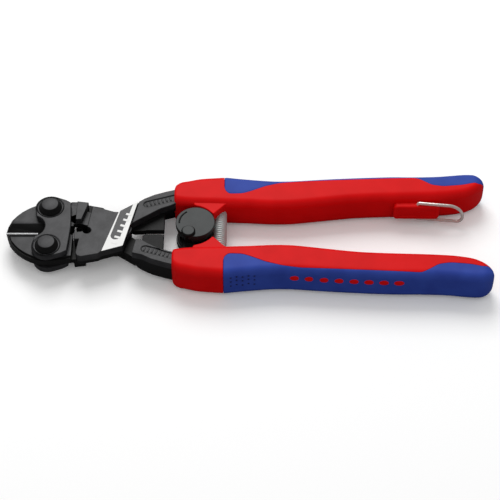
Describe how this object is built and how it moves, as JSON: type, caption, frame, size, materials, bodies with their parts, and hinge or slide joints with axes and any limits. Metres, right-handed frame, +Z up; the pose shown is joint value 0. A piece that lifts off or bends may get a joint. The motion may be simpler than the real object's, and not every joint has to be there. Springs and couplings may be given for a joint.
{
  "type": "bolt cutters",
  "caption": "Compact lever bolt cutters with two jaws between link plates, crossed handles, two-part grips, a turning lock and a wire tether bail.",
  "frame": {"origin": "under the middle of the closed tool, on the surface that it lies on", "axes": "+Z up, square to the flat faces; the tool's long axis is X, with the jaws at -X and the grips at +X; +Y is the side of the handle that carries the tether"},
  "size_m": [0.2, 0.0582, 0.0147],
  "materials": {
    "forged_steel": "black atramentized forged steel, satin",
    "lock_steel": "grey-black phosphated steel, matt",
    "bright_steel": "turned steel",
    "spring_steel": "bright drawn spring wire",
    "red_grip": "hard moulded plastic, satin red",
    "blue_grip": "soft moulded elastomer, fine grain, dark blue",
    "label_white": "printed white film",
    "label_dark": "printed dark field"
  },
  "bodies": {
    "lower_handle": {"lower_handle_arm": "forged_steel", "lower_grip_core": "red_grip", "lower_grip_pad": "blue_grip", "pivot_rivet": "forged_steel", "lower_knuckle_pin": "bright_steel", "lock_pivot_rivet": "lock_steel", "opening_spring": "spring_steel", "lower_spring_cup": "bright_steel"},
    "upper_handle": {"upper_handle_arm": "forged_steel", "upper_grip_core": "red_grip", "upper_grip_pad": "blue_grip", "upper_knuckle_pin": "bright_steel", "lock_catch_pin": "bright_steel", "label_border": "label_white", "label_field": "label_dark", "tether_housing": "red_grip", "upper_spring_cup": "bright_steel"},
    "head": {"front_link_plate": "forged_steel", "back_link_plate": "forged_steel", "upper_jaw_bolt": "forged_steel", "lower_jaw_bolt": "forged_steel", "jaw_bolt_nuts": "forged_steel"},
    "upper_jaw": {"upper_jaw": "forged_steel"},
    "lower_jaw": {"lower_jaw": "forged_steel"},
    "lock": {"lock_front_disc": "lock_steel", "lock_back_disc": "lock_steel", "lock_spacer": "lock_steel"},
    "tether_bail": {"tether_bail": "spring_steel"}
  },
  "joints": [
    {"name": "handle_open", "type": "hinge", "parent": "lower_handle", "child": "upper_handle", "pos_m": [-0.052, 0, 0.00735], "axis": [0, 0, 1], "range_deg": [0, 25], "deforming": ["opening_spring"]},
    {"name": "head_follow", "type": "hinge", "parent": "lower_handle", "child": "head", "pos_m": [-0.052, 0, 0.00735], "axis": [0, 0, 1], "range_deg": [-0.5, 13]},
    {"name": "upper_jaw_swing", "type": "hinge", "parent": "head", "child": "upper_jaw", "pos_m": [-0.082, 0.0103, 0.00735], "axis": [0, 0, 1], "range_deg": [-8.5, 0.5]},
    {"name": "lower_jaw_swing", "type": "hinge", "parent": "head", "child": "lower_jaw", "pos_m": [-0.082, -0.0103, 0.00735], "axis": [0, 0, 1], "range_deg": [-0.5, 8.5]},
    {"name": "lock_turn", "type": "hinge", "parent": "lower_handle", "child": "lock", "pos_m": [-0.0241, -0.004, 0.00735], "axis": [0, 0, 1], "range_deg": [0, 35]},
    {"name": "tether_bail_swing", "type": "hinge", "parent": "upper_handle", "child": "tether_bail", "pos_m": [0.0714, 0.0135, 0.00735], "axis": [0, 0, -1], "range_deg": [0, 90]}
  ],
  "couplings": [
    {"joint": "head_follow", "follows": "handle_open", "ratio": 0.5},
    {"joint": "upper_jaw_swing", "follows": "handle_open", "ratio": -0.315},
    {"joint": "lower_jaw_swing", "follows": "handle_open", "ratio": 0.315}
  ]
}
